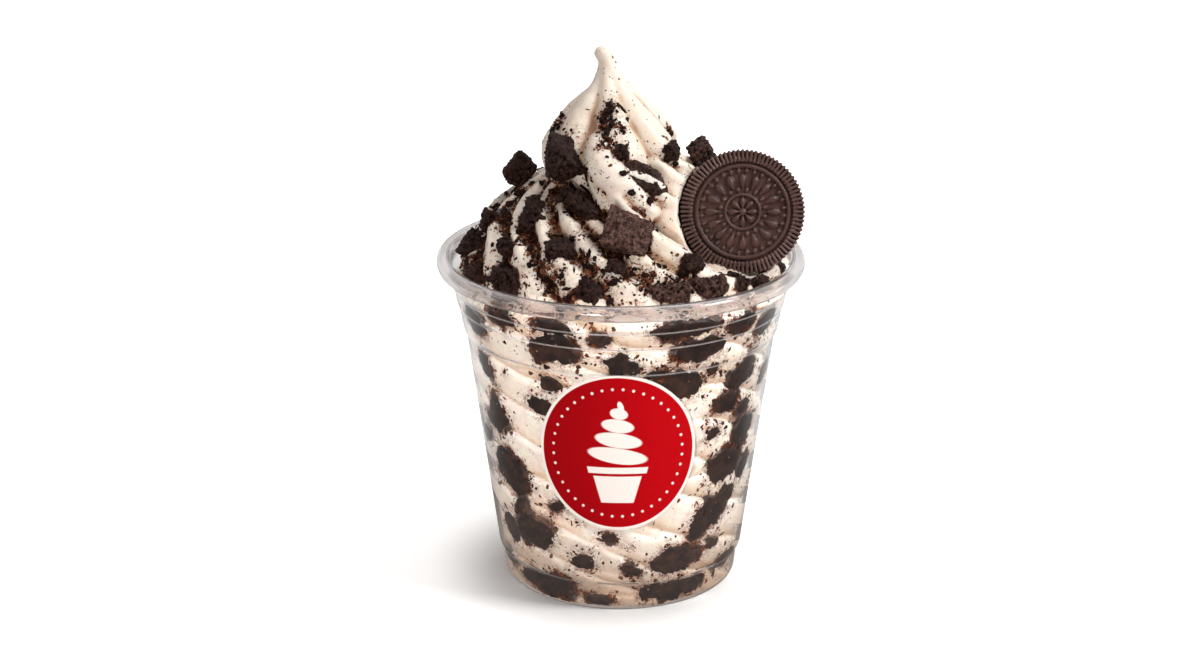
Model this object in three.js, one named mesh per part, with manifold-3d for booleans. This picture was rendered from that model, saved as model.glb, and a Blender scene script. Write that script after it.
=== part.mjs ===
// A soft-serve sundae with broken chocolate biscuit, in its clear plastic cup.
// Sizes are in millimetres. +Z is up, the cup's axis is the Z axis and the table is z = 0.
// The shown side faces -Y. Angles round the axis are in degrees: 0 is +X, -90 is the shown side.

import * as THREE from 'three';
import { mergeVertices } from 'three/addons/utils/BufferGeometryUtils.js';
import Module from 'manifold-3d';

const wasm = await Module();
wasm.setup();

// ---- Driving dimensions ----

const TURN = 2 * Math.PI;
const SIDES = 28; // of the cup's round outlines
const GAP = 0.3; // between pieces that touch

const CUP_HEIGHT = 91;
const LIP_RADIUS = 49;
const WALL = 0.7;
const FLOOR_RISE = 2.2; // of the cup's floor inside its foot ring

// Outside of the wall, from the heel up to the lip: [radius, height]
const CUP_WALL = [
  [31.6, 1.2],
  [32.2, 7.8], // stacking ledge
  [33.2, 8.8],
  [41.4, 69.9], // lowest ring
  [42.2, 70.9],
  [43.3, 77.5], // middle ring
  [43.9, 78.4],
  [44.4, 81.9], // top ring
  [45.1, 82.9],
  [45.6, 86.8],
];

const LABEL_RADIUS = 22.2;
const LABEL_HEIGHT = 48.1; // of its centre
const LABEL_THICKNESS = 0.3;

// Below the peak the swirl is a coil of fat strands that flow down to the wall of the cup.
// The two runs give the middle of the coil's first and last strand: [distance from the axis, height].
const FIRST_STRAND = [
  [9, 118],
  [15, 114.5],
  [21, 108],
  [27, 101.5],
  [33, 95],
  [37.5, 89],
  [38.6, 82],
];
const LAST_STRAND = [
  [9, 105],
  [15, 104.5],
  [21, 103],
  [27, 100],
  [33, 95.5],
  [37.5, 89],
  [38.6, 82],
];
const COIL_START = -124; // degrees, where the coil comes out from under the peak
const STRANDS = 15;
const STRAND_SWEEP = 92; // degrees that a strand turns on its way down
const STRAND_RADIUS = [4.1, 5.3]; // at its start and at its end
const STRAND_SIDES = 6;

const PEAK_HEIGHT = 146;
const PEAK_LENGTH = 42;
const PEAK_RADIUS = 18.4;
const KNOB_RADIUS = 1.9;
const PEAK_LOBES = 7;
const PEAK_GROOVE = 0.2; // depth of its grooves, as a share of its radius
const PEAK_LEAN = [
  // distance below the tip, shift of the peak's middle along X
  [0, -4.9],
  [2.2, -4.3],
  [4.5, -3.6],
  [12, -2.4],
  [28, -2.4],
  [42, 0],
];

const BISCUIT_RADIUS = 16.6;
const BISCUIT_LEAN = 19; // degrees back from upright
const BISCUIT_FACE = [32, -13, 105]; // middle of the front face
const BISCUIT_SEAT = 9; // room kept clear of soft serve in front of the face
const WAFER = 2.3;
const BISCUIT_CREAM = 2;
const RIBS = 24;
const RIB_DEPTH = 0.5;

// Broken biscuit on the swirl:
// [name, angle, distance from the axis, height of its middle, length, width, thickness, roll]
const CHUNKS = [
  ['left_top', 166, 27.3, 111.6, 9.5, 9.5, 8, 20],
  ['peak_left', -136, 20.5, 119, 14, 8.6, 8, -40],
  ['under_peak_left', -119, 22.9, 109.6, 13.4, 5.4, 6, -22],
  ['filled', -73, 19.6, 116, 12, 7.5, 6.5, -35],
  ['round_small', -90, 18.5, 122.5, 4, 4, 4, 0],
  ['peak_right', -40, 16.4, 120.6, 4.6, 5, 4.5, 10],
  ['behind_biscuit', 8, 21.8, 116.4, 8.5, 6.4, 6.5, 15],
  ['dark_pit', -143.5, 28, 104.7, 10, 8.6, 7, -30],
  ['middle_left', -116, 35, 99.8, 8.4, 6, 6.5, 25],
  ['big_block', -87, 31, 104, 15, 12.6, 9, -20],
  ['right_round', -62.5, 37.4, 97.4, 6.4, 5.4, 6, 0],
  ['rim_right', -43, 40, 90.4, 5.8, 5.8, 5.5, 20],
  ['rim_far_right', -30, 41, 87.6, 6, 5, 5, -10],
  ['under_biscuit', -7, 40.8, 87.5, 7, 6, 5.5, 0],
  ['front_left', -101.5, 40, 91.2, 6.8, 6.2, 6, -15],
  ['front_long', -73.5, 39.8, 91, 11.4, 6.4, 6, -12],
  ['front_long_right', -57.5, 40.2, 90.8, 9, 5.6, 5.6, -18],
  ['wall_left', -171, 39.8, 93.8, 6.6, 9.4, 6, 8],
  ['wall_left_low', -157, 40.4, 89.2, 8, 7, 5.5, 0],
  ['corner_left', -136.5, 39, 89.8, 10.6, 8.6, 7, -50],
  ['ridge_left', -142.5, 36, 98.2, 7, 5.2, 5.5, -20],
  ['shoulder_left', -169, 34.4, 100.4, 7, 6, 6, 10],
  ['below_block', -92.5, 36.8, 97.2, 6, 4.4, 4.2, -10],
  ['back_peak', 98, 19, 116, 9, 8, 7, 30],
  ['back_middle', 62, 30, 105, 12, 9, 8, -25],
  ['back_left', 128, 31, 103.5, 9, 8, 7, 40],
  ['back_rim', 85, 39.8, 93, 10, 7, 6.5, -15],
  ['back_rim_left', 146, 39.6, 93, 8, 8, 6.5, 20],
  ['back_rim_right', 35, 39.8, 92.5, 8.5, 6.5, 6, 0],
];
const CHUNK_TILT = 38; // degrees that a chunk's outer face looks up

// Broken biscuit in the filling, pressed to the wall: [name, angle, height, length, width, roll]
const SUNK_CHUNKS = [
  ['upper_left', -114, 76.8, 13.6, 8.6, -10],
  ['upper_right', -61, 76.5, 13.5, 6, 5],
  ['upper_middle', -90, 73.2, 9.5, 6, -15],
  ['right_of_label', -67, 66.6, 11, 8, -20],
  ['far_right', -40, 65.5, 13, 8, 25],
  ['far_right_low', -32, 48.5, 9, 7, 30],
  ['left_of_label', -147, 51.8, 9.5, 9, 0],
  ['left', -143, 36.5, 15, 10.5, -25],
  ['right', -43, 39.5, 12.5, 9, 10],
  ['low_right', -46, 26.5, 20, 8, 38],
  ['low_left', -132, 20.5, 12.6, 9, -10],
  ['foot_left', -128, 5.2, 20, 5.4, 0],
  ['foot_right', -64, 5.2, 20, 5.4, 0],
  ['low_middle', -64, 14.4, 15, 7, 6],
  ['back_right', 25, 52, 13, 9, 20],
  ['back_middle', 105, 45, 15, 9, -20],
  ['back_low', 60, 24, 16, 9, 25],
];
const SUNK_DEPTH = 8;

// ---- Helpers ----

const radians = (degrees) => (degrees * Math.PI) / 180;

function smoothStep(from, to, x) {
  const u = Math.min(1, Math.max(0, (x - from) / (to - from)));
  return u * u * (3 - 2 * u);
}

// A repeatable stream of numbers from 0 to 1
function chance(seed) {
  const size = 2 ** 32;
  let state = (seed * 2654435761) % size;
  return () => {
    state = (state * 1664525 + 1013904223) % size;
    return state / size;
  };
}

// Straight-line reading of a list of [x, y] pairs
function along(pairs, x) {
  const next = pairs.findIndex((pair) => pair[0] >= x);
  if (next === 0) return pairs[0][1];
  const [x0, y0] = pairs[next - 1];
  const [x1, y1] = pairs[next];
  return y0 + ((y1 - y0) * (x - x0)) / (x1 - x0);
}

function solidOf(geometry) {
  const bare = geometry.clone();
  bare.deleteAttribute('normal');
  bare.deleteAttribute('uv');
  const merged = mergeVertices(bare, 1e-4);
  return new wasm.Manifold(
    new wasm.Mesh({
      numProp: 3,
      vertProperties: new Float32Array(merged.attributes.position.array),
      triVerts: new Uint32Array(merged.index.array),
    })
  );
}

function geometryOf(solid) {
  const { vertProperties, triVerts } = solid.getMesh();
  const geometry = new THREE.BufferGeometry();
  geometry.setAttribute('position', new THREE.BufferAttribute(new Float32Array(vertProperties), 3));
  geometry.setIndex(new THREE.BufferAttribute(new Uint32Array(triVerts), 1));
  return geometry;
}

// The main body of a cut solid, without the slivers that a cut leaves
function largest(solid) {
  return solid.decompose().reduce((best, part) => (part.volume() > best.volume() ? part : best));
}

// A profile of [radius, height] pairs turned round the Z axis
function turned(profile, sides) {
  const points = profile.map(([radius, height]) => new THREE.Vector2(radius, height));
  return new THREE.LatheGeometry(points, sides).rotateX(Math.PI / 2);
}

// A closed skin over rings of points, the first and last ring closed by a fan to a middle point
function skinned(rings, firstMiddle, lastMiddle) {
  const count = rings[0].length;
  const points = [firstMiddle, ...rings.flat(), lastMiddle];
  const last = points.length - 1;
  const faces = [];
  for (let j = 0; j < count; j++) {
    const next = (j + 1) % count;
    faces.push(0, 1 + next, 1 + j);
    for (let i = 0; i < rings.length - 1; i++) {
      const low = 1 + i * count;
      const high = low + count;
      faces.push(low + j, low + next, high + next);
      faces.push(low + j, high + next, high + j);
    }
    faces.push(last, last - count + j, last - count + next);
  }
  const geometry = new THREE.BufferGeometry();
  geometry.setAttribute('position', new THREE.Float32BufferAttribute(points.flat(), 3));
  geometry.setIndex(faces);
  return geometry;
}

// ---- Cup ----

// The inside follows the wall, but is plain behind the two upper rings
const insideWall = [0, 1, 2, 3, 4, 5, 9].map((step) => {
  const [radius, height] = CUP_WALL[step];
  return [radius - WALL, height + WALL / 3];
});

function cup() {
  const foot = [
    [0, FLOOR_RISE],
    [27.4, FLOOR_RISE],
    [28.6, 0],
    [30.4, 0],
  ];
  const lip = [
    [48.2, 86.9],
    [LIP_RADIUS, 88.4],
    [48.6, 90.3],
    [47.2, CUP_HEIGHT],
    [45.9, 90.4],
  ];
  const floor = [
    [30.2, 0.8],
    [29.1, 0.8],
    [27.8, FLOOR_RISE + WALL],
    [0, FLOOR_RISE + WALL],
  ];
  return turned([...foot, ...CUP_WALL, ...lip, ...insideWall.toReversed(), ...floor], SIDES);
}

// A thin round label bent to the wall, a gap in front of it
function label() {
  const [lowRadius, lowHeight] = CUP_WALL[2];
  const [highRadius, highHeight] = CUP_WALL[3];
  const slope = (highRadius - lowRadius) / (highHeight - lowHeight);
  const rings = [0, 0.4, 0.75, 1].map((share) => LABEL_RADIUS * share);
  const back = rings.map((radius) => [radius, 0]);
  const front = rings.map((radius) => [radius, LABEL_THICKNESS]).reverse();
  const plate = turned([...back, ...front], 24);
  const position = plate.attributes.position;
  for (let i = 0; i < position.count; i++) {
    const height = LABEL_HEIGHT + position.getY(i);
    const wall = lowRadius + slope * (height - lowHeight);
    const radius = wall + GAP + position.getZ(i);
    const angle = position.getX(i) / wall - TURN / 4;
    position.setXYZ(i, radius * Math.cos(angle), radius * Math.sin(angle), height);
  }
  return plate;
}

// ---- Soft serve ----

// The filling, pressed to the inside of the wall, and the heap under the strands
function filling() {
  const bottom = [
    [0, FLOOR_RISE + WALL + GAP],
    [28, FLOOR_RISE + WALL + GAP],
    [29.3, 1.1],
    [30, 1.1],
  ];
  const wall = [0, 1, 2, 3, 5].map((step) => {
    const [radius, height] = insideWall[step];
    return [radius - GAP, height + GAP / 2];
  });
  wall.push([43.6, 83]);
  const heap = [
    [39.5, 86],
    [33, 94],
    [21, 103],
    [0, 112],
  ];
  return turned([...bottom, ...wall, ...heap], SIDES);
}

// Place of strand k round the coil, from 0 to 1. The first strands lie further apart.
const strandTurn = (k) => (1.28 * k) / STRANDS - 0.28 * (k / STRANDS) ** 2;

// Middle and radius of strand k, with u from 0 at its start to 1 at its end
function strandAt(k, u) {
  const turn = strandTurn(k);
  const stop = u * (FIRST_STRAND.length - 1);
  const read = (column) => {
    const first = along(FIRST_STRAND.map((point, i) => [i, point[column]]), stop);
    const last = along(LAST_STRAND.map((point, i) => [i, point[column]]), stop);
    return first * (1 - turn) + last * turn;
  };
  const angle = radians(COIL_START + 360 * turn + STRAND_SWEEP * u);
  const rounded = Math.sqrt(Math.min(1, 0.15 + 6 * u, 0.3 + 6 * (1 - u)));
  const [startRadius, endRadius] = STRAND_RADIUS;
  return {
    middle: new THREE.Vector3(read(0) * Math.cos(angle), read(0) * Math.sin(angle), read(1)),
    radius: rounded * (startRadius + (endRadius - startRadius) * u),
  };
}

function strand(k) {
  const stops = [0, 0.1, 0.3, 0.52, 0.76, 1];
  const step = 0.02;
  const rings = stops.map((u) => {
    const { middle, radius } = strandAt(k, u);
    const ahead = strandAt(k, Math.min(1, u + step)).middle;
    const behind = strandAt(k, Math.max(0, u - step)).middle;
    const forward = ahead.sub(behind).normalize();
    const across = new THREE.Vector3(0, 0, 1).cross(forward).normalize();
    const up = forward.clone().cross(across);
    return Array.from({ length: STRAND_SIDES }, (_, i) => {
      const phase = (TURN * i) / STRAND_SIDES;
      const point = middle.clone();
      point.addScaledVector(across, radius * Math.cos(phase));
      point.addScaledVector(up, radius * Math.sin(phase));
      return point.toArray();
    });
  });
  return skinned(rings, strandAt(k, 0).middle.toArray(), strandAt(k, 1).middle.toArray());
}

function peak() {
  const drops = [0.3, 1.2, 2.6, 4.5, 8, 12, 16, 20, 25, 31, PEAK_LENGTH];
  const points = PEAK_LOBES * 2;
  const rings = drops.map((drop) => {
    const knob = KNOB_RADIUS * Math.sqrt(Math.min(1, drop / 1.6));
    const flare = (PEAK_RADIUS - KNOB_RADIUS) * smoothStep(2.5, 27, drop);
    const tuck = 3 * smoothStep(29, PEAK_LENGTH, drop);
    const groove = PEAK_GROOVE * smoothStep(1, 9, drop);
    const twist = 0.7 * smoothStep(4, PEAK_LENGTH, drop);
    return Array.from({ length: points }, (_, i) => {
      const phase = (-TURN * i) / points;
      const lobe = Math.abs(Math.cos((PEAK_LOBES * phase) / 2)) ** 0.7;
      const out = (knob + flare - tuck) * (1 - groove + groove * lobe);
      return [
        along(PEAK_LEAN, drop) + out * Math.cos(phase + twist),
        out * Math.sin(phase + twist),
        PEAK_HEIGHT - drop,
      ];
    });
  });
  return skinned(rings, [PEAK_LEAN[0][1], 0, PEAK_HEIGHT], [0, 0, PEAK_HEIGHT - PEAK_LENGTH]);
}

// ---- Biscuit ----

// Stands a shape made along Z, from its front face at z = 0 back, at the biscuit's place
function atBiscuit(geometry) {
  const lean = radians(BISCUIT_LEAN);
  const frame = new THREE.Matrix4().makeBasis(
    new THREE.Vector3(1, 0, 0),
    new THREE.Vector3(0, Math.sin(lean), Math.cos(lean)),
    new THREE.Vector3(0, -Math.cos(lean), Math.sin(lean))
  );
  return geometry.applyMatrix4(frame.setPosition(...BISCUIT_FACE));
}

// A wafer with a ribbed edge, its front at the given depth behind the biscuit's face
function wafer(depth) {
  const outline = Array.from({ length: RIBS * 2 }, (_, i) => {
    const radius = i % 2 ? BISCUIT_RADIUS - RIB_DEPTH : BISCUIT_RADIUS;
    const angle = (TURN * i) / (RIBS * 2);
    return new THREE.Vector2(radius * Math.cos(angle), radius * Math.sin(angle));
  });
  const plate = new THREE.ExtrudeGeometry(new THREE.Shape(outline), {
    depth: WAFER,
    bevelEnabled: false,
  });
  return atBiscuit(plate.translate(0, 0, -depth - WAFER));
}

function biscuitCream() {
  const radius = BISCUIT_RADIUS - 1.6;
  const thickness = BISCUIT_CREAM - 2 * GAP;
  const disc = new THREE.CylinderGeometry(radius, radius, thickness, 28).rotateX(TURN / 4);
  return atBiscuit(disc.translate(0, 0, -WAFER - BISCUIT_CREAM / 2));
}

// What the soft serve leaves free for the biscuit and in front of it
function biscuitSeat() {
  const depth = 2 * WAFER + BISCUIT_CREAM + GAP + BISCUIT_SEAT;
  const radius = BISCUIT_RADIUS + GAP;
  const room = new THREE.CylinderGeometry(radius, radius, depth, 32).rotateX(TURN / 4);
  return atBiscuit(room.translate(0, 0, BISCUIT_SEAT - depth / 2));
}

// ---- Broken biscuit ----

// A rough lump that fits a box, grown on every side by the given margin
function lump(size, seed, margin) {
  const random = chance(seed);
  const rock = mergeVertices(bareRock(), 1e-4);
  const position = rock.attributes.position;
  const point = new THREE.Vector3();
  for (let i = 0; i < position.count; i++) {
    point.fromBufferAttribute(position, i).normalize();
    const corner = Math.max(Math.abs(point.x), Math.abs(point.y), Math.abs(point.z));
    point.multiplyScalar((0.45 + 0.13 * random()) / corner ** 0.45);
    position.setXYZ(i, point.x, point.y, point.z);
  }
  const [length, width, thickness] = size.map((side) => side + 2 * margin);
  return rock.scale(length, width, thickness);
}

function bareRock() {
  const rock = new THREE.DodecahedronGeometry(1, 0);
  rock.deleteAttribute('normal');
  rock.deleteAttribute('uv');
  return rock;
}

// A flat-backed flake with an uneven outline, narrower at its back
function flake(size, seed, margin) {
  const random = chance(seed);
  const corners = 8;
  const plate = new THREE.CylinderGeometry(0.5, 0.34, 1, corners).rotateX(TURN / 4);
  const stretch = Array.from({ length: corners }, () => 0.82 + 0.3 * random());
  const position = plate.attributes.position;
  for (let i = 0; i < position.count; i++) {
    const angle = Math.atan2(position.getY(i), position.getX(i));
    const corner = Math.round((angle / TURN) * corners + corners) % corners;
    position.setX(i, position.getX(i) * stretch[corner]);
    position.setY(i, position.getY(i) * stretch[corner]);
  }
  const [length, width, thickness] = size.map((side) => side + 2 * margin);
  return plate.scale(length, width, thickness);
}

// Turns a lump's thickness outward from the axis, tilted up, and puts it in place
function seated(geometry, angle, distance, height, roll, tilt) {
  geometry.rotateZ(radians(roll));
  const [turn, rise] = [radians(angle), radians(tilt)];
  const out = new THREE.Vector3(
    Math.cos(turn) * Math.cos(rise),
    Math.sin(turn) * Math.cos(rise),
    Math.sin(rise)
  );
  const across = new THREE.Vector3(-Math.sin(turn), Math.cos(turn), 0);
  const frame = new THREE.Matrix4().makeBasis(across, out.clone().cross(across), out);
  const place = [distance * Math.cos(turn), distance * Math.sin(turn), height];
  return geometry.applyMatrix4(frame.setPosition(...place));
}

function chunk(row, margin) {
  const [name, angle, distance, height, length, width, thickness, roll] = row;
  const seed = name.length * 31 + Math.round(Math.abs(angle));
  const rock = lump([length, width, thickness], seed, margin);
  return solidOf(seated(rock, angle, distance, height, roll, CHUNK_TILT));
}

function sunkChunk(row, margin) {
  const [name, angle, height, length, width, roll] = row;
  const seed = name.length * 47 + Math.round(Math.abs(angle));
  const rock = flake([length, width, SUNK_DEPTH], seed, margin);
  const wall = along(insideWall.map(([radius, level]) => [level, radius]), height);
  return solidOf(seated(rock, angle, wall - SUNK_DEPTH * 0.3, height, roll, 0));
}

// ---- The whole sundae ----

const sundae = new THREE.Group();

function place(name, geometry, look) {
  const mesh = new THREE.Mesh(geometry, new THREE.MeshStandardMaterial(look));
  mesh.name = name;
  sundae.add(mesh);
}

const CLEAR = { color: 0xf4f6f7, roughness: 0.05, metalness: 0, transparent: true, opacity: 0.3 };
const CREAM = { color: 0xf3e7d6, roughness: 0.45, metalness: 0 };
const BISCUIT = { color: 0x2c1712, roughness: 0.85, metalness: 0 };
const RED = { color: 0xb5121b, roughness: 0.35, metalness: 0 };

const fillingSolid = solidOf(filling());
let softServe = fillingSolid.add(solidOf(peak()));
for (let k = 0; k < STRANDS; k++) {
  softServe = softServe.add(solidOf(strand(k)));
}
softServe = softServe.subtract(solidOf(biscuitSeat()));
for (const row of CHUNKS) {
  softServe = softServe.subtract(chunk(row, GAP));
  place(`chunk_${row[0]}`, geometryOf(chunk(row, 0)), BISCUIT);
}
for (const row of SUNK_CHUNKS) {
  softServe = softServe.subtract(sunkChunk(row, GAP));
  const pressed = sunkChunk(row, 0).intersect(fillingSolid);
  place(`sunk_${row[0]}`, geometryOf(largest(pressed)), BISCUIT);
}

place('cup', cup(), CLEAR);
place('label', label(), RED);
place('soft_serve', geometryOf(largest(softServe)), CREAM);
place('biscuit_front_wafer', wafer(0), BISCUIT);
place('biscuit_cream', biscuitCream(), CREAM);
place('biscuit_back_wafer', wafer(WAFER + BISCUIT_CREAM), BISCUIT);

export default sundae;
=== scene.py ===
"""A soft-serve sundae with broken chocolate biscuit in its clear cup, dressed round its CAD frame."""

import math
import random
from contextlib import contextmanager

import bpy
import numpy as np
from mathutils import Matrix, Vector, noise
from mathutils.kdtree import KDTree


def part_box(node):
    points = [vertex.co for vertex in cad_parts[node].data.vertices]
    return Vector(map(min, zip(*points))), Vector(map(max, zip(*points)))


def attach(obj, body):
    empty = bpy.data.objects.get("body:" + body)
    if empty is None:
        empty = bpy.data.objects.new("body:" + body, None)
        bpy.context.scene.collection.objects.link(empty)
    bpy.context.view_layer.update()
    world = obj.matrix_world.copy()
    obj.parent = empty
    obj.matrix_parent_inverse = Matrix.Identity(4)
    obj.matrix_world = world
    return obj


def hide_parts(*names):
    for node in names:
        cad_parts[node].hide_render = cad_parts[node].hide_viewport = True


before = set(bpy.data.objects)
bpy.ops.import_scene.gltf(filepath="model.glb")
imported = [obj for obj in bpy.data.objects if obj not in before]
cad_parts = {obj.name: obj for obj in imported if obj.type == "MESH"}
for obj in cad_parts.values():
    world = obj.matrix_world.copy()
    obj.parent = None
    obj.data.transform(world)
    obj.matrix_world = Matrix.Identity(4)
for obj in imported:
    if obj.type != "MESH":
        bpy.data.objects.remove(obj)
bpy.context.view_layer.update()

MM = 0.001
TURN = 2 * math.pi

# ---- Sizes in millimetres, as the frame was drawn where no comment says otherwise ----

WALL = 0.7
PLAIN_WALL = [(8.8, 33.2), (69.9, 41.4)]  # (height, radius) where the wall is straight
CUP_FOOT = [(0, 2.2), (27.4, 2.2), (28.6, 0), (30.4, 0)]
CUP_WALL = [
    (31.6, 1.2), (32.2, 7.8), (33.2, 8.8), (41.4, 69.9), (42.2, 70.9),
    (43.3, 77.5), (43.9, 78.4), (44.4, 81.9), (45.1, 82.9), (45.6, 86.8),
]
CUP_LIP = [  # a thin sheet rolled outward: the hollow under it, its edge, then its outer side
    (45.9, 89.4), (46.4, 90.2), (47.3, 90.4), (48.2, 89.8), (48.5, 88.5), (48.1, 87.1), (48.5, 86.9),
    (49, 88.4), (48.6, 90.3), (47.2, 91), (45.7, 90.4),
]
CUP_FLOOR = [(30.2, 0.8), (29.1, 0.8), (27.8, 2.9), (0, 2.9)]

LABEL_RADIUS = 22.2
LABEL_HEIGHT = 48.1
LABEL_FILM = 0.14
# Off the frame, as the picture shows it: narrower, taller and further left
LABEL_WIDE, LABEL_TALL, LABEL_SHIFT = 0.94, 1.02, -1

FIRST_STRAND = [(9, 118), (15, 114.5), (21, 108), (27, 101.5), (33, 95), (37.5, 89), (38.6, 82)]
LAST_STRAND = [(9, 105), (15, 104.5), (21, 103), (27, 100), (33, 95.5), (37.5, 89), (38.6, 82)]
STRANDS = 15
COIL_START = -124
STRAND_SWEEP = 92

PEAK_HEIGHT = 146
PEAK_LENGTH = 42
PEAK_RADIUS = 18.4
KNOB_RADIUS = 1.9
PEAK_LOBES = 7
PEAK_GROOVE = 0.24
PEAK_LEAN = [(0, -4.9), (2.2, -4.3), (4.5, -3.6), (12, -2.4), (28, -2.4), (42, 0)]

BISCUIT_RADIUS = 16.6
BISCUIT_LEAN = 19
# Off the frame, as the picture shows it: smaller, and moved 0.6 mm left and 0.2 mm up
BISCUIT_SCALE = 0.975
BISCUIT_FACE = (31.4, -13, 105.2)
WAFER = 2.3
BISCUIT_CREAM = 2
SEAT_RADII = (16.8, 19)
SEAT_DEPTH = 32.8
SEAT_FRONT = 26

# The photo's camera as matched: its picture in pixels, its place, and its tilt down in degrees
PICTURE_WIDTH = 1200
PICTURE_MIDDLE = (600, 335)
FOCAL = 2365
CAMERA_PLACE = (-5.5, -600, 278)
CAMERA_TILT = 19.39
SENSOR = 36


# ---- Selecting and shaping ----


def pick(*pieces):
    bpy.ops.object.select_all(action="DESELECT")
    for piece in pieces:
        piece.select_set(True)
    bpy.context.view_layer.objects.active = pieces[0]


@contextmanager
def editing(action="SELECT"):
    """Edit mode on the picked piece, with all its corners selected unless told otherwise."""
    bpy.ops.object.mode_set(mode="EDIT")
    bpy.ops.mesh.select_all(action=action)
    yield
    bpy.ops.object.mode_set(mode="OBJECT")


def named(name):
    piece = bpy.context.object
    piece.name = name
    piece.data.name = name
    return piece


def settle(piece):
    pick(piece)
    bpy.ops.object.transform_apply(location=True, rotation=True, scale=True)


def smoothed(piece):
    pick(piece)
    bpy.ops.object.shade_smooth()
    return piece


def joined(name, parts):
    pick(*parts)
    bpy.ops.object.join()
    return named(name)


def added(name, mesh):
    """A mesh as a new piece in the scene."""
    mesh.name = name
    piece = bpy.data.objects.new(name, mesh)
    bpy.context.scene.collection.objects.link(piece)
    return piece


def with_modifier(piece, kind, **settings):
    pick(piece)
    modifier = piece.modifiers.new(kind.lower(), kind)
    for key, value in settings.items():
        setattr(modifier, key, value)
    bpy.ops.object.modifier_apply(modifier=modifier.name)


def fused(piece, grain):
    """One closed skin over all the shapes in a piece, in squares of the given size in mm."""
    with_modifier(piece, "REMESH", mode="VOXEL", voxel_size=grain * MM, use_smooth_shade=True)


def roughened(piece, scale, depth, middle=0.5, kind="CLOUDS"):
    """Pushes a surface in and out by a procedural pattern of the given scale, both in mm."""
    pattern = bpy.data.textures.new(piece.name + "_" + kind.lower(), kind)
    pattern.noise_scale = scale * MM
    with_modifier(
        piece, "DISPLACE", texture=pattern, texture_coords="LOCAL", strength=depth * MM, mid_level=middle
    )
    bpy.data.textures.remove(pattern)


def read_out(items, key, width=1, kind=float):
    """One value, or a row of them, from each corner, edge, face or loop of a mesh."""
    flat = np.empty(len(items) * width, kind)
    items.foreach_get(key, flat)
    return flat.reshape(-1, width) if width > 1 else flat


def points_of(piece):
    return read_out(piece.data.vertices, "co", 3) / MM


def normals_of(piece):
    return read_out(piece.data.vertices, "normal", 3)


def move_points(piece, points):
    piece.data.vertices.foreach_set("co", (points * MM).ravel())
    piece.data.update()


def outward(piece):
    """Joins corners that lie on each other and turns all faces outward."""
    pick(piece)
    with editing():
        bpy.ops.mesh.remove_doubles(threshold=0.002 * MM)
        bpy.ops.mesh.normals_make_consistent(inside=False)


def wrapped(name, around, down, place):
    """A grid wrapped into a closed skin: place gives arrays of x, y, z for shares round and down."""
    bpy.ops.mesh.primitive_grid_add(x_subdivisions=around, y_subdivisions=down, size=1)
    piece = named(name)
    flat = points_of(piece) * MM + 0.5
    x, y, z = place(flat[:, 0], flat[:, 1])
    move_points(piece, np.stack([x, y, z], axis=1))
    outward(piece)
    return smoothed(piece)


def marked(piece, name, values):
    """Stores a value from 0 to 1 for each point of a piece, for its material to read."""
    layer = piece.data.attributes.new(name, "FLOAT", "POINT")
    layer.data.foreach_set("value", np.clip(values, 0, 1).astype(np.float32))


# ---- Small sums ----


def smooth_step(low, high, x):
    u = np.clip((x - low) / (high - low), 0, 1)
    return u * u * (3 - 2 * u)


def reading(pairs, x):
    return np.interp(x, [pair[0] for pair in pairs], [pair[1] for pair in pairs])


def ripple(points, scale, seed=0.0):
    """Soft noise from about -1 to 1 at each point, for lumps of the given size in mm."""
    shift = Vector((seed * 7.3, seed * 3.1, seed * 5.7))
    return np.array([noise.noise(Vector(point) / scale + shift) for point in points]) * 1.6


def filleted(profile, reach):
    """Rounds the corners of a profile, each by at most the given distance along its sides."""
    made = [profile[0]]
    for before, corner, after in zip(profile, profile[1:], profile[2:]):
        here = Vector(corner)
        back, on = Vector(before) - here, Vector(after) - here
        start = here + back * min(0.45, reach / back.length)
        end = here + on * min(0.45, reach / on.length)
        for u in (0, 0.25, 0.5, 0.75, 1):
            made.append(tuple(start.lerp(here, u).lerp(here.lerp(end, u), u)))
    made.append(profile[-1])
    return made


# ---- Cup ----

cup_outside = filleted(CUP_FOOT + CUP_WALL + CUP_LIP, 0.8)
cup_inside = [(radius - WALL, height + WALL / 3) for radius, height in CUP_WALL]
cup_inside = filleted([CUP_LIP[-1]] + cup_inside[::-1] + CUP_FLOOR, 0.6)
inner_wall = sorted((height, radius) for radius, height in cup_inside if radius > 30 and height > 1)


def turned(name, profile, steps):
    """A profile extruded point by point and spun round the cup's axis."""
    bpy.ops.mesh.primitive_plane_add(size=MM)
    piece = named(name)
    with editing():
        bpy.ops.mesh.merge(type="CENTER")
        here = Vector((0, 0))
        for number, point in enumerate(profile):
            step = (Vector(point) - here) * MM
            if number:
                bpy.ops.mesh.extrude_region_move(TRANSFORM_OT_translate={"value": (step.x, 0, step.y)})
            else:
                bpy.ops.transform.translate(value=(step.x, 0, step.y))
            here = Vector(point)
        bpy.ops.mesh.select_all(action="SELECT")
        bpy.ops.mesh.spin(steps=steps, angle=TURN, center=(0, 0, 0), axis=(0, 0, 1))
    outward(piece)
    bpy.ops.object.shade_smooth_by_angle(angle=math.radians(50))
    return piece


cup = turned("clear_cup", cup_outside + cup_inside[1:], 160)

# ---- Swirl of soft serve ----


def strand_turn(k):
    """How far round the coil a strand starts: the strands crowd together towards the coil's end."""
    return 1.28 * k / STRANDS - 0.28 * (k / STRANDS) ** 2


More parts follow.
